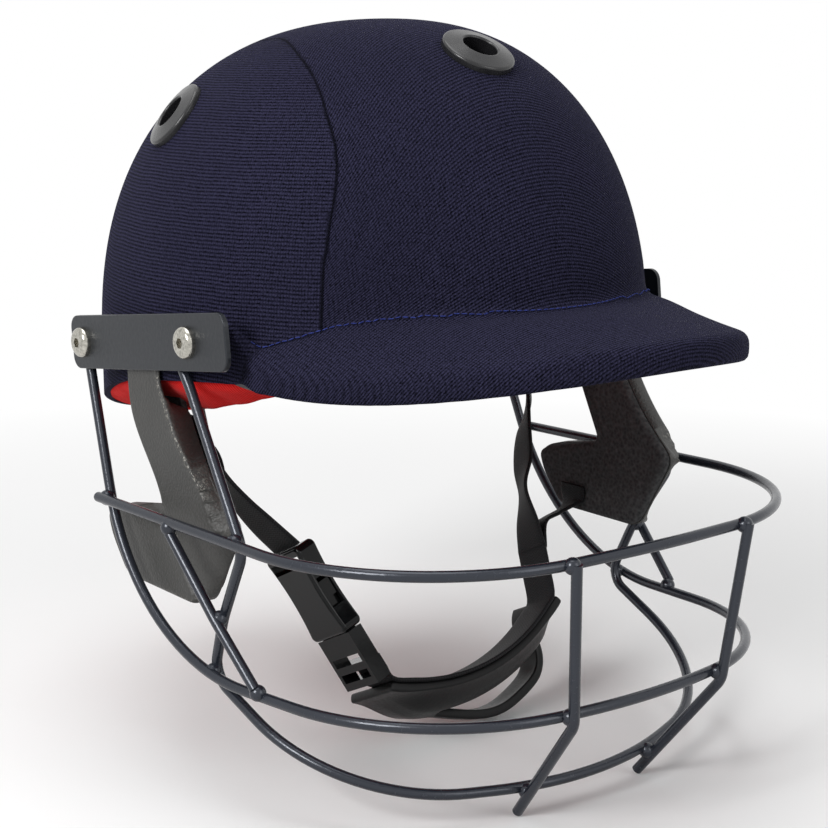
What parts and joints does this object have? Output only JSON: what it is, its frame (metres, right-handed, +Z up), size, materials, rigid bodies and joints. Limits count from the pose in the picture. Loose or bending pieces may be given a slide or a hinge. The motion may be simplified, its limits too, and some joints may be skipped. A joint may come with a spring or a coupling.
{
  "type": "cricket helmet",
  "caption": "Cloth-covered cricket batting helmet with a peak, vent eyelets, a welded wire face guard on side plates, cheek pads and a chin strap with a side-release buckle.",
  "frame": {"origin": "the middle of the head opening, level with the hem at the temples", "axes": "+X the wearer's left, -Y forwards to the peak, +Z up through the crown"},
  "size_m": [0.2324, 0.3108, 0.2862],
  "materials": {
    "cover_knit": "fine ribbed polyester knit in navy, with a soft sheen",
    "shell_plastic": "smooth moulded plastic",
    "peak_board": "stiff plastic board",
    "liner_foam": "moulded closed-cell foam",
    "lining_knit": "ribbed red knit",
    "pad_cloth": "brushed cloth over soft foam",
    "eyelet_plastic": "satin black plastic",
    "plate_paint": "semi-gloss slate powder coat",
    "wire_paint": "semi-gloss slate powder coat on steel wire",
    "screw_steel": "polished nickel plating",
    "cheek_foam": "moulded foam with a fine leather grain",
    "cheek_cloth": "black woven cloth",
    "webbing": "flat woven nylon webbing",
    "chin_rubber": "smooth moulded chin pad",
    "buckle_plastic": "glossy black acetal"
  },
  "bodies": {
    "root": {"fabric_cover": "cover_knit", "shell": "shell_plastic", "peak_core": "peak_board", "impact_liner": "liner_foam", "red_lining": "lining_knit", "brow_pad": "pad_cloth", "crown_pad": "pad_cloth", "rear_pad": "pad_cloth", "side_pad_left": "pad_cloth", "side_pad_right": "pad_cloth", "eyelet_front": "eyelet_plastic", "eyelet_left": "eyelet_plastic", "eyelet_right": "eyelet_plastic", "eyelet_collars": "eyelet_plastic", "side_plate_left": "plate_paint", "side_plate_right": "plate_paint", "grille_top_bar": "wire_paint", "grille_middle_bar": "wire_paint", "grille_bottom_bar": "wire_paint", "grille_brace_left": "wire_paint", "grille_brace_right": "wire_paint", "grille_vertical_left": "wire_paint", "grille_vertical_right": "wire_paint", "grille_welds": "wire_paint", "plate_screws": "screw_steel", "plate_nuts": "screw_steel", "plate_spacers": "screw_steel", "strap_rivets": "screw_steel", "cheek_pad_left": "cheek_foam", "cheek_pad_right": "cheek_foam", "cheek_lining_left": "cheek_cloth", "cheek_lining_right": "cheek_cloth", "strap_left_front": "webbing", "strap_left_rear": "webbing", "strap_right_front": "webbing", "strap_right_rear": "webbing", "chin_strap": "webbing", "buckle_tongue": "buckle_plastic", "buckle_prongs": "buckle_plastic"},
    "buckle_female": {"buckle_housing": "buckle_plastic"},
    "chin_cup_body": {"chin_cup": "chin_rubber"}
  },
  "joints": [
    {"name": "buckle_release", "type": "slide", "parent": "root", "child": "buckle_female", "axis": [-0.3285, 0.4111, 0.8503], "range_m": [0, 0.024], "deforming": ["strap_right_front", "buckle_prongs"]},
    {"name": "chin_cup_slide", "type": "hinge", "parent": "root", "child": "chin_cup_body", "pos_m": [-0.006, -0.02528, -0.04067], "axis": [0, -0.9003, 0.4352], "range_deg": [-1, 6]}
  ]
}
